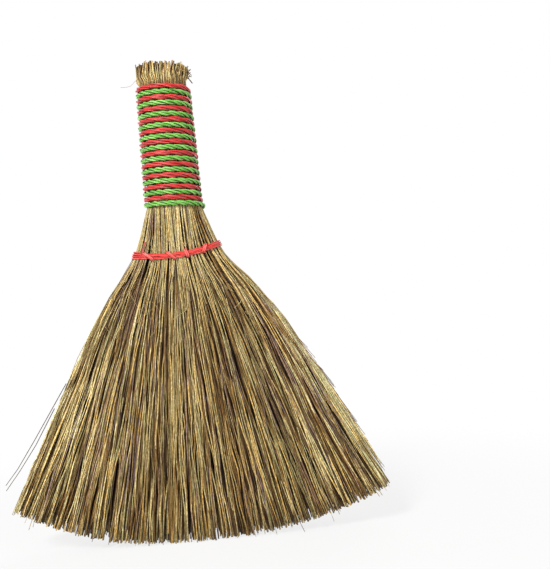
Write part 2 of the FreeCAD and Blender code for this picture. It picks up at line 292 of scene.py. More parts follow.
def trimmed(upper, foot, lift):
    """Where a strand that runs from a point to its foot meets the trimmed arc, raised by lift."""
    share = 1.0
    for _ in range(12):
        x = upper[0] + (foot[0] - upper[0]) * share
        end = trim_height(x) + lift - np.interp(x, DROP_PLACES, TIP_DROP)
        share = (upper[2] - end) / (upper[2] - foot[2])
    return upper + (foot - upper) * share


def cut_short(most):
    """How far a stalk ends from the line of the cut."""
    return 0.2 + most * rng.uniform() ** 1.4


def tip_lift():
    """Most tips are cut within 3 mm of the arc; a few broke off shorter."""
    lift = cut_short(TIP_CUT)
    if rng.uniform() < BROKEN_SHARE:
        lift += rng.uniform(2.0, 9.0)
    return lift


# Tone of straw, and the light and shade painted on it

# Painted light and shade: how much light the stalks keep by how deep they lie, lighter on the outside and
# darker inside as shade, with some browning of the inner ones by dust and damp
DEPTHS = [-0.5, 0.6, 1.4, 2.8]
PAINTED_DEPTH_LIGHT = [1.22, 1.14, 0.36, 0.1]
TIP_RISES = [0, 8, 35]  # and how much those inside keep, by height above their tips, which show: painted shade that deepens upwards
PAINTED_TIP_SHADE = [0.8, 0.5, PAINTED_DEPTH_LIGHT[-1]]
WINDING_MIDDLE = (GRIP_FOOT_HEIGHT + GRIP_TOP_HEIGHT) / 2
WINDING_REACH = 36.0
PAINTED_WINDING_SHADE = 0.45  # under the winding they are painted dark, as shade under the cords
NECK_ENDS = [150.0, 182.0]
NECK_PACKING = 0.55  # the neck is packed tightly, so it gets less painted depth shade
NECK_SOFTENING = 0.5  # and its stalks differ less
BROWN_SHARE, BROWN_TONE = 0.15, 0.26
WEATHERED_SHARE = 0.34
# Painted light across the fan: the middle is painted a little darker than its sides, and the right side than
# the left one
PAINTED_MIDDLE_LIGHT = 0.8
PAINTED_SIDE_LIGHT = 0.42
PAINTED_LEFT_LIGHT = 0.05
# Lanes of painted shade at the gaps between bundles, by how many bundles lie left of them
PAINTED_SHADE_LANES = {2.0: 0.15, 3.0: 0.38, 4.0: 0.28}
LANE_WIDTH = 0.09
LANE_HEIGHTS = [100.0, 165.0]  # a lane fades out between these heights


def own_tone():
    """Most stalks are khaki or golden; some are brown or grey."""
    if rng.uniform() < BROWN_SHARE:
        return rng.uniform(0.0, BROWN_TONE)
    return rng.uniform(BROWN_TONE, 0.97)


def own_light():
    """About one stalk in three is weathered dark."""
    if rng.uniform() < WEATHERED_SHARE:
        return rng.uniform(0.22, 0.64)
    return rng.uniform(0.9, 1.12)


def painted_light_by_depth(points):
    """Painted light and shade of each point of a strand, by its depth under the skin of the broom, with
    painted shade under the winding.
    """
    sections = [section_at(height) for height in points[:, 2]]
    beyond = np.abs(points[:, 0] - drawn_in(points)) - [section.straight for section in sections]
    depths = [section.radius for section in sections] - np.hypot(np.maximum(0.0, beyond), points[:, 1])
    depths *= np.interp(points[:, 2], NECK_ENDS, [1.0, NECK_PACKING])
    bound = np.abs(points[:, 2] - WINDING_MIDDLE) < WINDING_REACH
    return np.interp(depths, DEPTHS, PAINTED_DEPTH_LIGHT) * np.where(bound, PAINTED_WINDING_SHADE, 1.0)


def painted_inner_shade(points):
    """Painted shade of each point of a stalk inside, deeper the higher it lies above its tip."""
    return np.interp(points[:, 2] - points[-1, 2], TIP_RISES, PAINTED_TIP_SHADE)


def painted_lane_light(bundle, share, points):
    """Painted light and shade of each point of a strand by where it crosses the fan, in or beside the lanes
    of painted shade.
    """
    fading = np.interp(points[:, 2], LANE_HEIGHTS, [1.0, 0.0])
    aside = (bundle + share) / BUNDLES * 2 - 1
    across = PAINTED_MIDDLE_LIGHT + PAINTED_SIDE_LIGHT * aside**2 - PAINTED_LEFT_LIGHT * aside
    light = np.interp(points[:, 2], NECK_ENDS, [across, 1.0])
    for lane, shade in PAINTED_SHADE_LANES.items():
        light *= 1 - shade * fading * math.exp(-(((bundle + share - lane) / LANE_WIDTH) ** 2))
    return light


def painted_place_light(bundle, share, points, inside):
    """Painted light and shade of each point of a strand by where it lies."""
    return painted_lane_light(bundle, share, points) * (painted_inner_shade(points) if inside else painted_light_by_depth(points))


# Stalks and shoots

# Heights of the points of a strand, from the top down
NECK_HEIGHTS = [284.5, 281.0, 212.0, 208.0, 198.0, 187.0, 176.0, 165.0]
FAN_HEIGHTS = np.arange(152.0, 19.0, -11.0)
INNER_HEIGHTS = np.arange(150.0, 24.0, -25.0)
LAST_RUN = 5.0  # how far above the tip the last of them is, at least
# How far strands lie beside their places, in widths of a bundle, and how far they sink between clumps
FOOT_WANDER, MIDDLE_WANDER, WAIST_WANDER, NECK_WANDER = 0.055, 0.04, 0.03, 0.07
FAN_HOLLOW, SHOULDER_HOLLOW = 0.7, 0.8
# The butt end, where the stalks spring apart again above the winding
BULGE_HEIGHT = 2.5
BULGE_DIAMETER = 33.2
END_SCATTER = 1.1
BENT_SHARE = 0.4  # of those on the right bend outwards
BUTT_SLOPE = 0.085  # it is cut a little higher on the left
BUTT_LEAN = 1.0
# Long stalks
STALK_RADIUS = 0.52
TAPER_HEIGHTS = [0, 80, 150, WAIST_HEIGHT, 205]
TAPER = [0.97, 0.95, 0.8, 0.86, 1.0]
STALK_PITCH = 0.98
LONG_LAYERS = 12
OUTER_LAYERS = 3  # so many belong to a face
LAYER_STEP, SHOULDER_STEP, FAN_STEP = 1.28, 1.2, 0.9
FAN_DEPTH = 0.5
SHOULDER_BLEND = 0.6  # how much of its place at the waist a stalk keeps at the shoulder
NECK_SLACK = 0.45
# Side shoots
BRANCHES_PER_FACE = 156
FACE_BRANCHES = 78  # that many of them lie side by side on the face
FACE_LAYER = 4.0  # those that lie deeper belong to the inside


def down_to(tip, inside):
    """The heights in the fan that lie above a tip, and the tip's own."""
    heights = INNER_HEIGHTS if inside else FAN_HEIGHTS
    return [height for height in heights if height > tip[2] + LAST_RUN] + [tip[2]]


def fan_marks(bundle, side, share, depth, clumps):
    """Where a strand passes the foot and the middle of the fan, near its share of the bundle."""
    middle = spot(MIDDLE, bundle, near(clumps.crowd(share), MIDDLE_WANDER), depth, side)
    foot_depth = depth * rng.uniform(0.6, 1.2)
    foot = spot(FOOT, bundle, near(clumps.crowd(share), FOOT_WANDER), foot_depth, side)
    return [foot, middle]


def butt_marks(bundle, side, share, depth):
    """Where a stalk springs out of the winding, and its end, which leans a little."""
    depth += rng.uniform(-0.3, 0.8)
    bulge = round_section(GRIP_TOP_HEIGHT + BULGE_HEIGHT, BULGE_DIAMETER)
    spread = spot(bulge, bundle, share, depth, side)
    end = spot(bulge._replace(height=BUTT_HEIGHT), bundle, share, depth, side)
    end[:2] += rng.normal(0, END_SCATTER, 2)
    reach = BULGE_DIAMETER / 2 + 0.6
    end[:2] *= min(1.0, reach / np.hypot(end[0], end[1]))
    end[0] += BUTT_LEAN
    if spread[0] > 2 and rng.uniform() < BENT_SHARE:
        spread[0] -= rng.uniform(0.5, 2.5)
    return [spread, end]


def long_stalk(bundle, side, layer, number, count, clumps):
    """A stalk that runs from the butt end through both bindings down to the tips."""
    inside = layer >= OUTER_LAYERS
    share = (number + rng.uniform(0.25, 0.75)) / count
    if inside:
        share = rng.uniform(-0.03, 1.03)
    depth = STALK_RADIUS + LAYER_STEP * layer
    fan_share = (number + rng.uniform()) / count
    hollow = clumps.hollow(fan_share)
    fan_depth = FAN_DEPTH + FAN_STEP * layer + FAN_HOLLOW * hollow * rng.uniform()
    marks = fan_marks(bundle, side, fan_share, fan_depth, clumps)
    tip = trimmed(marks[1], marks[0], tip_lift())
    shoulder_depth = STALK_RADIUS + SHOULDER_STEP * layer + SHOULDER_HOLLOW * hollow * rng.uniform()
    shoulder_share = within(SHOULDER_BLEND * share + (1 - SHOULDER_BLEND) * fan_share)
    neck_share = near(share, NECK_WANDER)
    waist_share = near(share, WAIST_WANDER)
    marks += [
        spot(SHOULDER, bundle, shoulder_share, shoulder_depth, side),
        spot(WAIST, bundle, waist_share, depth + rng.uniform(0, NECK_SLACK), side),
        spot(GRIP_FOOT, bundle, neck_share, depth + rng.uniform(0, NECK_SLACK), side),
        spot(GRIP_TOP, bundle, share, depth, side),
    ]
    marks += butt_marks(bundle, side, share, depth)
    butt = BUTT_HEIGHT - cut_short(BUTT_CUT) - BUTT_SLOPE * marks[-1][0]
    heights = [butt, GRIP_TOP_HEIGHT + BULGE_HEIGHT] + NECK_HEIGHTS
    heights += down_to(tip, inside)
    points = loosened(flowing(marks, heights), rng.uniform(0.2, 0.9), rng.uniform(0.4, 1.6), 0.22)
    girth = STALK_RADIUS * rng.uniform(0.6, 1.15)
    radii = girth * np.interp(points[:, 2], TAPER_HEIGHTS, TAPER)
    evenness = np.interp(points[:, 2], NECK_ENDS, [1.0, NECK_SOFTENING])
    light = own_light() ** evenness * painted_place_light(bundle, fan_share, points, inside)
    return Strand(points, radii, own_tone(), light)


def branch(bundle, side, number, clumps):
    """A side shoot that comes up between the long stalks below the waist."""
    if number < FACE_BRANCHES:
        share = (number + rng.uniform()) / FACE_BRANCHES
        depth = rng.uniform(0.2, 1.3)
    else:
        share = rng.uniform()
        depth = 1.3 + 9.5 * rng.uniform() ** 1.3
    depth += FAN_HOLLOW * clumps.hollow(share) * rng.uniform()
    inside = depth > FACE_LAYER
    marks = fan_marks(bundle, side, share, depth, clumps)
    tip = trimmed(marks[1], marks[0], tip_lift())
    buried = min(9.0, 1.4 + depth * 0.8)
    marks.append(spot(SHOULDER, bundle, share, buried * rng.uniform(0.6, 1.1), side))
    start = spot(WAIST, bundle, share, buried, side)
    start[2] -= rng.uniform(-3, 14)
    marks.append(start)
    heights = [start[2]] + down_to(tip, inside)
    points = loosened(flowing(marks, heights), rng.uniform(0.2, 1.0), rng.uniform(0.5, 1.9), 0.25)
    radii = rng.uniform(0.29, 0.5) * np.interp(points[:, 2], [0, 90, 165], [1.05, 1.0, 0.5])
    light = own_light() * painted_place_light(bundle, share, points, inside)
    return Strand(points, radii, own_tone(), light), inside


FILLERS_PER_BUNDLE = 44
FILLER_TOP = 170.0


def filler(bundle, number):
    """A stalk in the middle of a bundle, painted dark as shade, one of those that close it to the light."""
    side = (FRONT, BACK)[number % 2]
    share = (number + 0.5) / FILLERS_PER_BUNDLE
    marks = []
    for section in (FOOT, MIDDLE, SHOULDER, WAIST):
        depth = min(FOOT.radius - 1.5, section.radius - 1.0)
        marks.append(spot(section, bundle, share, depth, side))
    tip = trimmed(marks[1], marks[0], rng.uniform(4.0, 8.0))
    points = flowing(marks, [FILLER_TOP] + down_to(tip, True))
    radii = np.interp(points[:, 2], [0, FILLER_TOP], [0.85, 0.4])
    return Strand(points, radii, rng.uniform(0.05, 0.5), painted_inner_shade(points))


# Loose fibres

HAIRS_PER_FACE = 16
LONG_HAIR_SHARE = 0.4  # these reach past the cut tips
NECK_FIBRES_PER_FACE = 14
FIBRE_HEIGHTS = [208.0, 199.0, 190.0, 182.0, 174.0, 168.0]


def hair(bundle, side):
    """A fine fibre that lies loosely on the face."""
    share = rng.uniform()
    foot = spot(FOOT, bundle, near(share, 0.06), -0.1, side)
    middle = spot(MIDDLE, bundle, near(share, 0.05), -0.1, side)
    marks = [foot, middle, spot(SHOULDER, bundle, share, -0.05, side), spot(WAIST, bundle, share, 0.3, side)]
    bottom = trimmed(middle, foot, 0.2)[2]
    top = rng.uniform(bottom + 25, 164)
    if rng.uniform() < LONG_HAIR_SHARE:
        low = max(0.3, bottom - rng.uniform(0, 5))
    else:
        low = bottom + rng.uniform(0, 70)
    heights = np.linspace(top, min(low, top - 22), 8)
    points = loosened(flowing(marks, heights), rng.uniform(0.5, 1.8), 0.2, 0.35)
    points[:, 1] += side * 0.2
    return Strand(points, rng.uniform(0.1, 0.2), rng.uniform(), rng.uniform(0.8, 1.25))


def neck_fibre(bundle, side):
    """A thin stalk on the face of the neck that runs out over the top of the fan."""
    share = rng.uniform(0.03, 0.97)
    marks = [
        spot(MIDDLE, bundle, near(share, 0.12), rng.uniform(0.2, 2.0), side),
        spot(SHOULDER, bundle, near(share, 0.08), 0.2, side),
        spot(WAIST, bundle, near(share, 0.05), 0.4, side),
        spot(GRIP_FOOT, bundle, near(share, 0.1), 0.4, side),
    ]
    low = rng.uniform(120, 163)
    heights = FIBRE_HEIGHTS + list(np.linspace(165.0, low, 5))[1:]
    points = loosened(flowing(marks, heights), 0.4, 0.3, 0.3)
    radii = rng.uniform(0.26, 0.42) * np.linspace(1.0, 0.8, len(points))
    return Strand(points, radii, own_tone(), rng.uniform(0.85, 1.15))


CURLS_PER_FACE = 9
CURL_POINTS = 9
CURL_TURN = 0.16
LANE_CURLS = 26
LANE_BUNDLE = 2  # these lie at its right edge


def half_width(height):
    """How far curls reach to either side, within the edges of the broom."""
    section = section_at(height)
    return section.straight + 0.5 * section.radius


def curl(height, across, side, light):
    """A thin dry rootlet that wanders down over the face, across bundles from the left."""
    share = across / BUNDLES * 2 - 1
    heading = math.atan(share * 0.7) + rng.normal(0, 0.3)
    bend = rng.normal(0, CURL_TURN)
    step = rng.uniform(0.7, 1.7)
    x = share * half_width(height)
    points = []
    for _ in range(CURL_POINTS):
        x = max(-half_width(height), min(half_width(height), x))
        lift = abs(rng.normal(0, 0.15)) + 0.1
        points.append([x, side * (face_depth(x, height) + lift), height])
        heading += bend + rng.normal(0, CURL_TURN)
        bend *= 0.8
        x += step * math.sin(heading)
        height -= step * math.cos(heading)
    radii = rng.uniform(0.1, 0.16) * np.linspace(1.1, 0.6, CURL_POINTS)
    return Strand(np.array(points), radii, rng.uniform(0.0, 1.0), light)


def curls(bundle, side):
    """Pale ones on the neck and the top of the fan, and dark ones in a lane."""
    strands = []
    for _ in range(CURLS_PER_FACE):
        across = bundle + rng.uniform(0.1, 0.9)
        height = WAIST_HEIGHT + rng.uniform(-40, 28)
        strands.append(curl(height, across, side, rng.uniform(0.9, 1.25)))
    if bundle == LANE_BUNDLE and side == FRONT:
        for _ in range(LANE_CURLS):
            across = bundle + 1 + rng.normal(0.03, 0.05)
            height = rng.uniform(40, 112)
            strands.append(curl(height, across, side, rng.uniform(0.2, 0.6)))
    return strands


# Fibres that stand off the edges, as corners (x, y, z): two long ones at the left, and one beside the winding
LONG_STRAYS = [
    [(-77.0, -1.0, 103.0), (-99.9, -1.0, 69.6), (-112.1, -1.0, 52.5), (-120.4, -1.0, 43.0)],
    [(-86.0, 1.0, 88.0), (-99.5, 0.5, 66.5), (-110.9, 0.0, 51.2), (-120.6, 0.0, 39.5)],
]
WINDING_STRAY = [
    (-13.0, -4.0, 287.6),
    (-16.5, -4.0, 286.4),
    (-18.6, -4.5, 284.0),
    (-21.0, -4.5, 282.5),
    (-26.0, -4.5, 282.8),
]
LEFT_STRAYS, RIGHT_STRAYS = 10, 44
STRAY_POINTS = 6
EDGE_WISPS = 30
WISP_POINTS = 8
WISP_ROOT = 1.6  # how far inside the edge wisps start
BUTT_STRAYS = 16


def long_strays():
    strands = [Strand(np.array(line), np.linspace(0.26, 0.18, len(line)), 0.0, 0.5) for line in LONG_STRAYS]
    line = smooth_line(WINDING_STRAY, 3)
    strands.append(Strand(line, 0.09, 0.0, 1.2))
    return strands


def edge_stray(edge_side):
    """A short fine fibre at an edge of the fan, which bows outwards."""
    top = rng.uniform(48, 140)
    length = rng.uniform(10, 34)
    bow = rng.uniform(0.4, 2.8)
    y = rng.uniform(-5, 5)
    points = []
    for share in np.linspace(0, 1, STRAY_POINTS):
        height = top - share * length
        edge = edge_at(y, height)
        if edge_side == LEFT:
            edge -= np.interp(height, DRAWN_HEIGHTS, LEFT_DRAW)
        points.append([edge_side * (edge - 0.8 + bow * share**1.5), y, height])
    radii = np.linspace(0.24, 0.14, STRAY_POINTS)
    return Strand(np.array(points), radii, rng.uniform(), rng.uniform(0.7, 1.1))


def edge_wisp():
    """A stalk that stands off the right edge of the fan, painted bright as if lit from behind."""
    heights = np.linspace(rng.uniform(100, 140), rng.uniform(34, 62), WISP_POINTS)
    inset = rng.uniform(-1.2, 3.4)
    y = rng.uniform(-6, 6)
    points = []
    for share, height in zip(np.linspace(0, 1, WISP_POINTS), heights):
        inside = WISP_ROOT + (inset - WISP_ROOT) * share
        points.append([edge_at(y, height) - inside + rng.normal(0, 0.2), y, height])
    radii = rng.uniform(0.24, 0.38) * np.linspace(1.0, 0.6, WISP_POINTS)
    return Strand(np.array(points), radii, own_tone(), rng.uniform(1.2, 1.7))


def butt_stray():
    """A broken bit of stalk that sticks out beside the butt end, on the right."""
    angle = rng.uniform(-1.0, 0.8)
    x, y = BULGE_DIAMETER / 2 * math.cos(angle), BULGE_DIAMETER / 2 * math.sin(angle)
    start = np.array([x, y, GRIP_TOP_HEIGHT + rng.uniform(1.0, 6.5)])
    lean = np.array([rng.uniform(0.8, 3.4), rng.uniform(-0.8, 0.8), rng.uniform(-3.6, 2.0)])
    end = start + lean + [0.2, 0.0, rng.uniform(-0.8, 0.8)]
    points = np.array([start - lean * 0.5, start + lean * 0.6, end])
    return Strand(points, np.array([0.28, 0.24, 0.16]), rng.uniform(0.1, 0.9), rng.uniform(0.4, 0.9))


def stalks_in_layer(layer, bundle):
    """As many stalks as find room side by side at the tightest height."""
    room = []
    for section in (WAIST, GRIP_FOOT, GRIP_TOP):
        radius = max(LEAST_LOOP, section.radius - STALK_RADIUS - LAYER_STEP * layer)
        gap = section.gap if layer < OUTER_LAYERS else STALK_GAP
        start, end = bundle_span(section, radius, bundle, gap)
        room.append((end - start) / STALK_PITCH)
    return max(1, round(min(room)))


def bundle_strands(bundle):
    """All strands of a bundle, shared out between its front, its back and its inside."""
    strands = {"front": [], "back": [], "inner": []}
    for side, face in ((FRONT, "front"), (BACK, "back")):
        clumps = Clumps()
        for layer in range(LONG_LAYERS):
            where = face if layer < OUTER_LAYERS else "inner"
            count = stalks_in_layer(layer, bundle)
            for number in range(count):
                strands[where].append(long_stalk(bundle, side, layer, number, count, clumps))
        for number in range(BRANCHES_PER_FACE):
            shoot, inside = branch(bundle, side, number, clumps)
            strands["inner" if inside else face].append(shoot)
        strands[face] += [neck_fibre(bundle, side) for _ in range(NECK_FIBRES_PER_FACE)]
        strands[face] += [hair(bundle, side) for _ in range(HAIRS_PER_FACE)]
        strands[face] += curls(bundle, side)
    strands["inner"] += [filler(bundle, number) for number in range(FILLERS_PER_BUNDLE)]
    if bundle == 0:
        strands["front"] += long_strays()
        strands["front"] += [edge_stray(LEFT) for _ in range(LEFT_STRAYS)]
    if bundle == BUNDLES - 1:
        strands["front"] += [edge_stray(RIGHT) for _ in range(RIGHT_STRAYS)]
        strands["front"] += [edge_wisp() for _ in range(EDGE_WISPS)]
        strands["front"] += [butt_stray() for _ in range(BUTT_STRAYS)]
    return strands


# Meshes


def strand_mesh(name, strands, roundness):
    """One mesh of closed strands, with what their finish reads and two maps of their skins."""
    curve = bpy.data.curves.new(name, "CURVE")
    curve.dimensions = "3D"
    curve.bevel_depth = MM
    curve.bevel_resolution = roundness
    for strand in strands:
        spline = curve.splines.new("POLY")
        spline.points.add(len(strand.points) - 1)
        spline.points.foreach_set("co", np.c_[strand.points * MM, np.ones(len(strand.points))].ravel())
        spline.points.foreach_set("radius", np.full(len(strand.points), strand.radii))
    mesh = curve_mesh(name, curve)
    mesh.name = name

    shell = bmesh.new()
    shell.from_mesh(mesh)
    bmesh.ops.edgeloop_fill(shell, edges=[edge for edge in shell.edges if edge.is_boundary])
    bmesh.ops.recalc_face_normals(shell, faces=shell.faces)
    shell.to_mesh(mesh)
    shell.free()

    sides = 4 + 2 * roundness
    rings = np.array([len(strand.points) for strand in strands])
    if rings.sum() * sides != len(mesh.vertices):
        raise RuntimeError(f"{name}: {len(mesh.vertices)} vertices, not {rings.sum() * sides}")
    owner = np.repeat(np.arange(len(strands)), rings * sides)
    first = np.repeat(np.cumsum(rings * sides) - rings * sides, rings * sides)
    place = np.arange(len(mesh.vertices)) - first
    paint(mesh, strands, owner, sides)
    map_skins(mesh, strands, owner, place // sides, place % sides, sides)
    return mesh


def curve_mesh(name, curve):
    """The mesh of a curve, which is then removed."""
    holder = bpy.data.objects.new(name, curve)
    mesh = bpy.data.meshes.new_from_object(holder)
    bpy.data.objects.remove(holder)
    bpy.data.curves.remove(curve)
    return mesh


# Painted shade between the strands and painted light on their outer faces: how much light their skin keeps,
# by how far it faces outwards
FACING = [-1.0, 0.0, 0.85]
PAINTED_FACING_LIGHT = [0.25, 0.44, 1.28]


def paint(mesh, strands, owner, sides):
    """Gives every vertex its strand's tone, its light with the light and shade painted by facing, and a
    number of its own.
    """
    tone = np.array([s.tone for s in strands])[owner]
    light = np.concatenate([np.broadcast_to(s.light, len(s.points)) for s in strands])
    middles = np.concatenate([s.points for s in strands])
    away = np.concatenate([outward(s.points) for s in strands])
    places = np.empty(3 * len(mesh.vertices), np.float32)
    mesh.vertices.foreach_get("co", places)
    offset = places.reshape(-1, 3) / MM - np.repeat(middles, sides, axis=0)
    facing = (offset * np.repeat(away, sides, axis=0)).sum(axis=1) / np.linalg.norm(offset, axis=1)
    light = np.repeat(light, sides) * np.interp(facing, FACING, PAINTED_FACING_LIGHT)
    tone_and_painted_light = mesh.attributes.new("tone_and_painted_light", "FLOAT_VECTOR", "POINT")
    marks = np.c_[tone, light, owner * 0.618 % 1.0]
    tone_and_painted_light.data.foreach_set("vector", marks.astype(np.float32).ravel())


# Each strand's cell in the map for baking: margins beside its skin, and its cut ends above and below
BAKE_COLUMNS = 256
SIDE_MARGIN, END_MARGIN = 0.06, 0.03
CUT_PLACE, CUT_WIDTH, CUT_HEIGHT = 0.012, 0.4, 0.008


def extremes(values, first):
    """The least and the greatest value at the corners of each face."""
    return np.minimum.reduceat(values, first), np.maximum.reduceat(values, first)


def map_skins(mesh, strands, owner, ring, corner, sides):
    """Maps every strand's skin at true length, for its grain, and in a cell of its own, for baking."""
    vertex = np.empty(len(mesh.loops), np.int32)
    mesh.loops.foreach_get("vertex_index", vertex)
    first = np.empty(len(mesh.polygons), np.int32)
    mesh.polygons.foreach_get("loop_start", first)
    count = np.diff(np.append(first, len(vertex)))
    face = np.repeat(np.arange(len(first)), count)
    loop_side = corner[vertex]
    low_ring, high_ring = extremes(ring[vertex], first)
    low_side, high_side = extremes(loop_side, first)
    is_cut = low_ring == high_ring
    at_seam = (low_side == 0) & (high_side == sides - 1) & ~is_cut
    around = np.where(at_seam[face] & (loop_side == 0), sides, loop_side) / sides

    lengths = [run_along(s.points) for s in strands]
    total = np.array([run[-1] for run in lengths])
    run = np.concatenate([np.repeat(line, sides) for line in lengths])[vertex]
    share = run / total[owner[vertex]]
    grain = mesh.uv_layers.new(name="grain")
    grain.uv.foreach_set("vector", np.c_[around, run / 10].astype(np.float32).ravel())

    rows = math.ceil(len(strands) / BAKE_COLUMNS)
    columns = math.ceil(len(strands) / rows)
    turn = TURN * loop_side / sides
    cut_across = 0.5 + CUT_WIDTH * np.cos(turn)
    cut_up = np.where(share < 0.5, CUT_PLACE, 1 - CUT_PLACE) + CUT_HEIGHT * np.sin(turn)
    across = np.where(is_cut[face], cut_across, SIDE_MARGIN + (1 - 2 * SIDE_MARGIN) * around)
    up = np.where(is_cut[face], cut_up, END_MARGIN + (1 - 2 * END_MARGIN) * share)
    cell = owner[vertex]
    baked = np.c_[(cell % columns + across) / columns, (cell // columns + up) / rows]
    mesh.uv_layers.new(name="OFBake").uv.foreach_set("vector", baked.astype(np.float32).ravel())

    cut = mesh.attributes.new("cut_end", "FLOAT", "FACE")
    cut.data.foreach_set("value", is_cut.astype(np.float32))
    mesh.polygons.foreach_set("use_smooth", ~is_cut)
    mesh.update()


def run_along(line):
    """Distance along a line at each of its points."""
    return np.append(0.0, np.cumsum(np.linalg.norm(np.diff(line, axis=0), axis=1)))


def add_object(name, data):
    """Puts a mesh, a camera or a light in the scene."""
    thing = bpy.data.objects.new(name, data)
    bpy.context.scene.collection.objects.link(thing)
    return thing


def add_piece(name, strands, roundness, finish, slot, *nodes):
    """Puts strands in the scene as a piece that stands for CAD nodes."""
    mesh = strand_mesh(name, strands, roundness)
    mesh.materials.clear()
    mesh.materials.append(finish)
    piece = add_object(name, mesh)
    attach(piece, "root")
    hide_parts(*nodes)


# Cords


def loop_point(turn, height, offset):
    """A point on the bound stalks at a share of a turn from the left over the front, that far off them."""
    share = 2 * (turn % 1.0)
    side, share = (FRONT, share) if share < 1 else (BACK, 2 - share)
    points = []
    for section in sections_beside(height):
        radius = section.radius + offset
        x, depth = spot_along(section, radius, share * half_loop(section, radius))
        points.append(np.array([x, side * depth, section.height]))
    rise = (height - points[0][2]) / (points[1][2] - points[0][2])
    return points[0] + (points[1] - points[0]) * rise


def smooth_line(points, steps):
    """Points along a smooth spline that has the given control points."""
    curve = bpy.data.curves.new("route", "CURVE")
    curve.dimensions = "3D"
    curve.resolution_u = steps
    spline = curve.splines.new("NURBS")
    spline.points.add(len(points) - 1)
    spline.points.foreach_set("co", np.c_[np.array(points), np.ones(len(points))].ravel())
    spline.order_u = 3
    spline.use_endpoint_u = True
    mesh = curve_mesh("route", curve)
    line = np.array([vertex.co for vertex in mesh.vertices], float)
    bpy.data.meshes.remove(mesh)
    return line


def cross_axes(line):
    """Two unit vectors across a line at each of its points, which don't twist."""
    heading = np.gradient(line, axis=0)
    heading /= np.linalg.norm(heading, axis=1)[:, None]
    sideways = np.cross(heading[0], [0.3, 0.2, 1.0])
    first = []
    for ahead in heading:
        sideways = sideways - ahead * sideways.dot(ahead)
        sideways = sideways / np.linalg.norm(sideways)
        first.append(sideways)
    first = np.array(first)
    return first, np.cross(heading, first)


# How a cord is laid up: its plies, the filaments of each ply, and the length of one turn of either
Lay = namedtuple("Lay", "plies filaments length ply_length ply_offset filament_offset filament_radius")
RED_LAY = Lay(3, 3, 26.0, 90.0, 0.84, 0.36, 0.37)
GREEN_LAY = Lay(3, 3, 16.5, 70.0, 0.93, 0.32, 0.34)
PLY_SWELL, PLY_SWAY = 0.06, 0.12  # how unevenly the plies lie
CORE_SHARE = 0.75  # a dark heart, painted as shade, fills the hollow between the plies
CORE_PAINTED_SHADE = 0.3


def twisted(line, lay):
    """The filaments of a twisted cord along a line, as strands."""
    one, two = cross_axes(line)
    run = run_along(line)
    strands = []
    for ply in range(lay.plies):
        middle = lay.ply_offset * (1 + PLY_SWELL * np.sin(run / 11.0 + rng.uniform(0, TURN)))
        turn = TURN * (run / lay.length + ply / lay.plies)
        turn += PLY_SWAY * np.sin(run / 17.0 + rng.uniform(0, TURN))
        for filament in range(lay.filaments):
            own_turn = turn + TURN * (filament / lay.filaments - run / lay.ply_length)
            own_turn += rng.uniform(-0.25, 0.25)
            out = middle * np.cos(turn) + lay.filament_offset * np.cos(own_turn)
            over = middle * np.sin(turn) + lay.filament_offset * np.sin(own_turn)
            points = line + one * out[:, None] + two * over[:, None]
            radius = lay.filament_radius * rng.uniform(0.94, 1.06)
            strands.append(Strand(points, radius, rng.uniform(0.35, 0.65), rng.uniform(0.9, 1.08)))
    strands.append(Strand(line, CORE_SHARE * lay.ply_offset, 0.0, CORE_PAINTED_SHADE))
    return strands


GRIP_POINTS_PER_TURN = 24
SPLINE_PULL = 0.15  # how far a smooth spline runs inside the points of a turn
WINDING_BITE = 0.8  # how far the tight winding sinks into the stalks


def grip_line(lead):
    """The middle of a grip cord, which winds down from left to right over the front."""
    first_height = GRIP_TOP_HEIGHT - GRIP_CORD_DIAMETER / 2 - lead
    offset = CORD_CLEARANCE + GRIP_CORD_DIAMETER / 2 + SPLINE_PULL - WINDING_BITE
    points = []
    for step in range(GRIP_TURNS * GRIP_POINTS_PER_TURN + 1):
        turn = step / GRIP_POINTS_PER_TURN
        points.append(loop_point(BACK_OF_LOOP + turn, first_height - 2 * WINDING_STEP * turn, offset))
    return smooth_line(points, 4)


WAIST_SAG = 3.9
WAIST_SLANT = 3.0
WAIST_POINTS_PER_TURN = 40
WAIST_START, WAIST_END = -0.04, 1.9
STEP_START, STEP_END = 0.92, 0.98
BAND_RADIUS = 0.46
# Distance of the rounds and of the threads at a stitch, and how much it grows between two stitches
ROUND_STEP, ROUND_SLACK = 1.3, 0.65
THREAD_STEP, THREAD_SLACK = 0.68, 0.1
LEFT_END = -20.0  # left of here the threads splay
SPLAY = 0.06
PINCH_REACH = 5.0
UNEVENNESS = 0.05


def band_height(x):
    """Height of the middle of the waist cord's two rounds, which sag in the middle and slant."""
    share = x / (WAIST_WIDTH / 2)
    return WAIST_HEIGHT + WAIST_SAG * share**2 + WAIST_SLANT / 2 * share


def gap_x(number):
    return gap_at(WAIST, WAIST.radius, number)


def slackness(x):
    """0 where a stitch pinches the waist cord, and 1 half-way between two stitches."""
    nearest = min(abs(x - gap_x(number)) for number in range(1, BUNDLES))
    return min(1.0, nearest / PINCH_REACH) ** 1.3


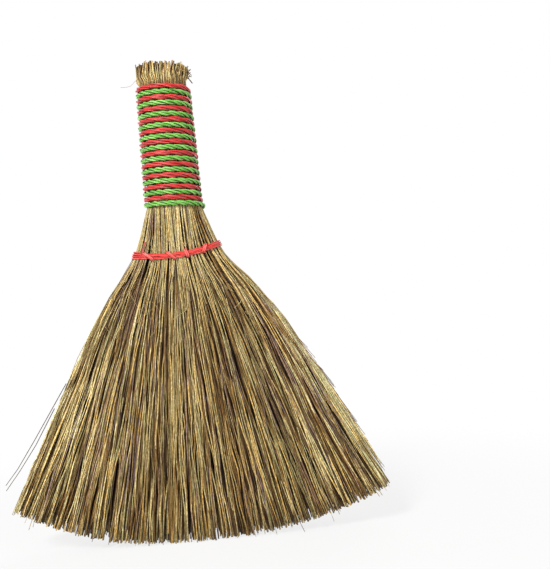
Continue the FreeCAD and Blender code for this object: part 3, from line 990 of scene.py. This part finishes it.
def waist_thread(number):
    """One of the two threads of the waist cord: two rounds, with a step up on the back near the left end."""
    points = []
    for step in range(round((WAIST_END - WAIST_START) * WAIST_POINTS_PER_TURN) + 1):
        turn = WAIST_START + step / WAIST_POINTS_PER_TURN
        share = within((turn - STEP_START) / (STEP_END - STEP_START))
        rise = share * share * (3 - 2 * share) - 0.5
        offset = CORD_CLEARANCE + BAND_RADIUS + 0.15
        x = loop_point(turn, WAIST_HEIGHT, offset)[0]
        slack = slackness(x)
        inner = 1 if (rise > 0) == (number == 0) else -1
        splay = SPLAY * max(0.0, LEFT_END - x)
        height = band_height(x) + rise * (ROUND_STEP + ROUND_SLACK * slack + splay)
        height += (number - 0.5) * (THREAD_STEP + THREAD_SLACK * slack + splay)
        offset += (0.12 + 0.25 * (1 - slack)) * inner + rng.normal(0, UNEVENNESS)
        points.append(loop_point(turn, height + rng.normal(0, UNEVENNESS), offset))
    return smooth_line(points, 6)


def waist_strands():
    lines = [waist_thread(number) for number in (0, 1)]
    return [Strand(line, BAND_RADIUS, rng.uniform(0.2, 0.6), 1.0) for line in lines]


# The stitches, from the left: how far each has slid, and how far its foot lies right of its head
STITCH_SHIFTS = {1: -0.4, 2: 1.6, 3: -0.7, 4: -1.5}
STITCH_SLANTS = {1: 5.0, 2: 4.6, 3: 1.4, 4: -1.8}
STITCH_REACH = 2.4  # above and below the middle of the band
THREAD_RADIUS = 0.52
TAIL_HEIGHTS = [3.0, 5.0]  # the cut end begins between these heights above the band
TAIL_RADIUS = 0.44
# painted shade on the cut end, where it lies in the gap
TAIL_PAINTED_SHADE = 0.55
STITCH_TAIL = [(0.2, 0.7, 0.4), (0.3, 0.4, 2.2), (1.0, 0.1, 4.4), (1.9, -0.3, 6.4)]


def stitch_thread(number):
    """One of the stitch cord's two threads: at each gap it wraps the waist cord and goes back through."""
    aside = (number - 0.5) * 2 * THREAD_RADIUS
    points = []
    for gap in range(BUNDLES - 1, 0, -1):
        x = gap_x(gap) + STITCH_SHIFTS[gap] + aside
        slant = STITCH_SLANTS[gap] / 2
        middle = band_height(gap_x(gap))
        face = face_depth(gap_x(gap), middle)
        front = face + CORD_CLEARANCE + 2 * BAND_RADIUS + 1.1
        low, high = middle - STITCH_REACH, middle + STITCH_REACH
        if not points:
            points += [(x + 6.0, face + 1.0, low - 5.0), (x + 1.0, face + 1.4, low - 0.5)]
        else:
            points.append((x, face + 2.2, low))
        points += [
            (x, 0.0, low),
            (x + slant * 0.6, 2.0 - face, low - 0.2),
            (x + slant, -face - 0.6, low - 0.1),
            (x + slant * 0.8, -front, low + 0.7),
            (x, -front - 0.45, middle),
            (x - slant * 0.8, -front, high - 0.7),
            (x - slant, -face - 0.6, high + 0.1),
        ]
        if gap == 1 and number == 0:
            points += [(x - slant + dx, dy - face, high + dz) for dx, dy, dz in STITCH_TAIL]
            continue
        points += [(x - slant * 0.6, 2.0 - face, high + 0.2), (x, 0.0, high)]
        if gap > 1:
            points.append((x, face + 2.2, high))
    return smooth_line(points, 8)


def stitch_strands():
    """The stitch cord's two threads. The cut end above the leftmost stitch is thinner and painted darker, as
    shade in the gap.
    """
    strands = []
    for number in (0, 1):
        line = stitch_thread(number)
        above = [z - band_height(x) for x, _, z in line]
        radii = np.interp(above, TAIL_HEIGHTS, [THREAD_RADIUS, TAIL_RADIUS])
        light = np.interp(above, TAIL_HEIGHTS, [1.0, TAIL_PAINTED_SHADE])
        strands.append(Strand(line, radii, rng.uniform(0.6, 0.8), light))
    return strands


# Finishes


def srgb(red, green, blue):
    """A colour in numbers from 0 to 255, as on a screen, in the numbers that a shader takes."""
    shares = [channel / 255 for channel in (red, green, blue)]
    return (*[c / 12.92 if c < 0.04045 else ((c + 0.055) / 1.055) ** 2.4 for c in shares], 1.0)


class Value:
    """A number that changes over a surface. Arithmetic on it adds Math nodes to its finish."""

    def __init__(self, finish, socket):
        self.finish = finish
        self.socket = socket

    def math(self, operation, other):
        node = self.finish.node("Math", {0: self, 1: other}, operation=operation)
        return Value(self.finish, node.outputs[0])

    __add__ = __radd__ = partialmethod(math, "ADD")
    __sub__ = partialmethod(math, "SUBTRACT")
    __mul__ = partialmethod(math, "MULTIPLY")
    __pow__ = partialmethod(math, "POWER")


class Finish:
    """A material, with one way to add any node to it."""

    def __init__(self, name, tree=None):
        if tree is None:
            self.material = bpy.data.materials.new(name)
            self.material.use_nodes = True
            tree = self.material.node_tree
        self.tree = tree
        self.tree.nodes.clear()

    def node(self, kind, sockets=None, **settings):
        node = self.tree.nodes.new(f"ShaderNode{kind}")
        for name, value in settings.items():
            setattr(node, name, value)
        for name, value in (sockets or {}).items():
            if isinstance(value, Value):
                value = value.socket
            if isinstance(value, bpy.types.NodeSocket):
                self.tree.links.new(value, node.inputs[name])
            else:
                node.inputs[name].default_value = value
        return node

    def value(self, node, output):
        return Value(self, node.outputs[output])

    def parts(self, socket):
        """The three numbers of a vector."""
        node = self.node("SeparateXYZ", {"Vector": socket})
        return [Value(self, output) for output in node.outputs]

    def tone_and_painted_light(self):
        """A strand's tone, its light with painted light and shade, and its own number."""
        return self.parts(self.node("Attribute", attribute_name="tone_and_painted_light").outputs["Vector"])

    def grain(self, across, along, number, detail=3.0):
        """Streaks along a strand, from 0 to 1: so many across it and so many to a centimetre of it."""
        around, length, _ = self.parts(self.node("UVMap", uv_map="grain").outputs["UV"])
        sockets = {"X": around * across, "Y": length * along, "Z": number * 90.0}
        place = self.node("CombineXYZ", sockets).outputs["Vector"]
        sockets = {"Vector": place, "Scale": 1.0, "Detail": detail, "Roughness": 0.6}
        return self.value(self.node("TexNoise", sockets, noise_dimensions="3D"), "Fac")

    def ramp(self, stops, share):
        """The colour at a share of a row of colours."""
        node = self.node("ValToRGB", {"Fac": share})
        elements = node.color_ramp.elements
        while len(elements) < len(stops):
            elements.new(1.0)
        for element, (place, colour) in zip(elements, stops):
            element.position = place
            element.color = colour
        return node.outputs["Color"]

    def shaded(self, colour, amount):
        """A colour made lighter or darker by a number."""
        node = self.node("VectorMath", {"Vector": colour, "Scale": amount}, operation="SCALE")
        return node.outputs["Vector"]

    def tinted_by_light(self, colour, amount):
        """A colour made lighter and paler, or darker and browner, by a number, which carries painted light
        and shade.
        """
        sockets = {"X": amount, "Y": amount**1.26, "Z": amount**1.7}
        shade = self.node("CombineXYZ", sockets).outputs["Vector"]
        node = self.node("VectorMath", {0: colour, 1: shade}, operation="MULTIPLY")
        return node.outputs["Vector"]

    def mixed(self, share, first, second):
        """A mixture of two colours."""
        node = self.node("Mix", {"Factor": share, 6: first, 7: second}, data_type="RGBA")
        return node.outputs[2]

    def finish(self, colour, roughness, ridges, strength):
        """Closes the material with a Principled surface that has fine ridges."""
        sockets = {"Strength": strength, "Distance": 0.0002, "Height": ridges}
        bump = self.node("Bump", sockets)
        sockets = {"Base Color": colour, "Roughness": roughness, "Normal": bump.outputs["Normal"]}
        surface = self.node("BsdfPrincipled", sockets)
        self.node("OutputMaterial", {"Surface": surface.outputs["BSDF"]})
        return self.material


STRAW_HUES = [
    (0.00, srgb(128, 106, 102)),
    (0.08, srgb(138, 108, 88)),
    (0.18, srgb(166, 132, 98)),
    (0.28, srgb(164, 154, 100)),
    (0.44, srgb(188, 169, 112)),
    (0.60, srgb(204, 181, 122)),
    (0.76, srgb(211, 181, 113)),
    (0.87, srgb(216, 172, 90)),
    (1.00, srgb(210, 190, 140)),
]
CUT_HUE = srgb(214, 190, 140)
# The dark, plain and pale hues of the cords: the dark one is painted shade of the pits and the pale one a
# painted highlight, spread along them in streaks
RED_HUES = [srgb(156, 20, 24), srgb(204, 44, 46), srgb(240, 112, 106)]
GREEN_HUES = [srgb(60, 138, 34), srgb(122, 196, 80), srgb(194, 236, 150)]
CORAL_HUES = [srgb(178, 30, 32), srgb(228, 68, 62), srgb(248, 142, 132)]


def straw_finish():
    """Dry grass: every stalk has its own hue, with streaks and stains along it, the light and shade painted
    on it, and a pale cut end.
    """
    straw = Finish("dry_straw")
    tone, light, number = straw.tone_and_painted_light()
    streaks = straw.grain(2.0, 6.5, number, 4.0)
    stains = straw.grain(0.6, 0.55, number + 0.37, 2.0)
    hue = straw.ramp(STRAW_HUES, tone + (stains - 0.5) * 0.6)
    # painted light and shade lighten and pale the hue, or darken and brown it
    skin = straw.tinted_by_light(hue, light * (1.0 + (streaks - 0.5) * 2.4))
    cut = straw.value(straw.node("Attribute", attribute_name="cut_end"), "Fac")
    colour = straw.mixed(cut * 0.6, skin, CUT_HUE)
    ridges = straw.grain(9.0, 0.6, number + 0.71, 2.0)
    return straw.finish(colour, 0.42 + stains * 0.3, ridges, 0.35)


def cord_finish(name, hues):
    """Glossy plastic cord: smooth filaments with fine drawn lines and worn streaks along them, which also
    paint highlights and shade into its hue.
    """
    cord = Finish(name)
    tone, light, number = cord.tone_and_painted_light()
    lines = cord.grain(4.0, 0.8, number)
    # wear that also paints highlights into the hue
    wear_and_painted_sheen = cord.grain(1.2, 1.6, number + 0.29)
    hue = cord.ramp(list(zip((0.0, 0.5, 1.0), hues)), tone + (lines - 0.5) * 0.7 + (wear_and_painted_sheen - 0.5) * 0.5)
    return cord.finish(cord.shaded(hue, light), 0.24 + wear_and_painted_sheen * 0.24, lines, 0.3)


def build_broom():
    straw = straw_finish()
    for bundle in range(BUNDLES):
        for place, strands in bundle_strands(bundle).items():
            node = f"bundle_{bundle + 1}_{place}_stalks"
            add_piece(f"{node}_straw", strands, 0, straw, "straw", node)

    red = cord_finish("red_plastic_cord", RED_HUES)
    green = cord_finish("green_plastic_cord", GREEN_HUES)
    coral = cord_finish("coral_plastic_cord", CORAL_HUES)
    strands = twisted(grip_line(0.0), RED_LAY)
    add_piece("red_grip_winding", strands, 1, red, "red_cord", "grip_cord_red")
    strands = twisted(grip_line(WINDING_STEP), GREEN_LAY)
    add_piece("green_grip_winding", strands, 1, green, "green_cord", "grip_cord_green")
    add_piece("waist_binding", waist_strands(), 2, coral, "coral_cord", "waist_cord")
    add_piece("waist_stitching", stitch_strands(), 2, coral, "coral_cord", "waist_stitch_cord")


# Stage, lights and camera

IMAGE_WIDTH, IMAGE_HEIGHT = 550, 569
CAMERA_DISTANCE = 550.0
CAMERA_HEIGHT = 144.2
CAMERA_ROLL = math.radians(5.3)
PIXELS_AT_CAMERA = 880.0  # focal length in pixels
AXIS_PIXEL = (183.0, 306.4)  # where the middle of the lens points to in the picture
SENSOR = 36.0


def add_camera():
    """The camera stands level with the fan and is rolled, and its frame is shifted as in the picture."""
    data = bpy.data.cameras.new("camera")
    data.sensor_width = SENSOR
    data.lens = PIXELS_AT_CAMERA / IMAGE_HEIGHT * SENSOR
    data.shift_x = (IMAGE_WIDTH / 2 - AXIS_PIXEL[0]) / IMAGE_HEIGHT
    data.shift_y = (AXIS_PIXEL[1] - IMAGE_HEIGHT / 2) / IMAGE_HEIGHT
    camera = add_object("camera", data)
    cosine, sine = math.cos(CAMERA_ROLL), math.sin(CAMERA_ROLL)
    camera.matrix_world = Matrix(
        (
            (cosine, sine, 0.0, 0.0),
            (0.0, 0.0, -1.0, -CAMERA_DISTANCE * MM),
            (-sine, cosine, 0.0, CAMERA_HEIGHT * MM),
            (0.0, 0.0, 0.0, 1.0),
        )
    )
    bpy.context.scene.camera = camera


WHITE = (1.0, 1.0, 1.0, 1.0)
MATT_WHITE = (0.9, 0.9, 0.9, 1.0)
FLOOR_SIZE = 4.0
SHADOW_START, SHADOW_END = 0.12, 0.45  # the shadow fades out between these distances
NEAR_WHITE = 0.8  # how white the floor is under the broom, where it keeps the shadow
WORLD_LIGHT = 0.3
LAMP_TARGET = Vector((0.0, 0.0, 0.15))


def seen_directly(finish):
    """1 for what the camera sees, straight or in a gloss."""
    path = finish.node("LightPath")
    seen = finish.value(path, "Is Camera Ray") + finish.value(path, "Is Glossy Ray")
    return seen + finish.value(path, "Is Transmission Ray")


def add_floor():
    """A pale floor that keeps the shadow near the broom and is white further off."""
    mesh = bpy.data.meshes.new("floor")
    sheet = bmesh.new()
    bmesh.ops.create_grid(sheet, x_segments=1, y_segments=1, size=FLOOR_SIZE)
    sheet.to_mesh(mesh)
    sheet.free()
    floor = add_object("floor", mesh)
    pale = Finish("pale_floor")
    place = pale.node("TexCoord").outputs["Object"]
    distance = pale.value(pale.node("VectorMath", {0: place}, operation="LENGTH"), "Value")
    sockets = {"Value": distance, "From Min": SHADOW_START, "From Max": SHADOW_END}
    far = pale.value(pale.node("MapRange", sockets, interpolation_type="SMOOTHSTEP"), "Result")
    share = (NEAR_WHITE + far * (1 - NEAR_WHITE)) * seen_directly(pale)
    matt = pale.node("BsdfDiffuse", {"Color": MATT_WHITE}).outputs["BSDF"]
    white = pale.node("Emission", {"Color": WHITE, "Strength": 1.0}).outputs["Emission"]
    mixed = pale.node("MixShader", {0: share, 1: matt, 2: white})
    pale.node("OutputMaterial", {"Surface": mixed.outputs["Shader"]})
    mesh.materials.append(pale.material)


def add_world():
    """Even white light from all round, with a white background."""
    world = bpy.data.worlds.new("studio")
    world.use_nodes = True
    studio = Finish("studio", world.node_tree)
    lit = studio.node("Background", {"Color": WHITE, "Strength": WORLD_LIGHT})
    white = studio.node("Background", {"Color": WHITE, "Strength": 1.0})
    sockets = {0: seen_directly(studio), 1: lit.outputs["Background"], 2: white.outputs["Background"]}
    mixed = studio.node("MixShader", sockets)
    studio.node("OutputWorld", {"Surface": mixed.outputs["Shader"]})
    bpy.context.scene.world = world


def add_lamp(name, place, size, power):
    """A square soft light that shines at the middle of the broom."""
    data = bpy.data.lights.new(name, "AREA")
    data.size = size
    data.energy = power
    lamp = add_object(name, data)
    lamp.location = place
    lamp.rotation_euler = (LAMP_TARGET - lamp.location).to_track_quat("-Z", "Y").to_euler()


bpy.context.scene.view_settings.view_transform = "Standard"
add_camera()
build_broom()
add_floor()
add_world()
add_lamp("key", (-0.7, -1.1, 1.1), 0.4, 22.0)
add_lamp("fill", (1.0, -0.9, 0.5), 0.8, 3.0)
add_lamp("back", (0.5, 1.3, 0.9), 1.0, 7.0)
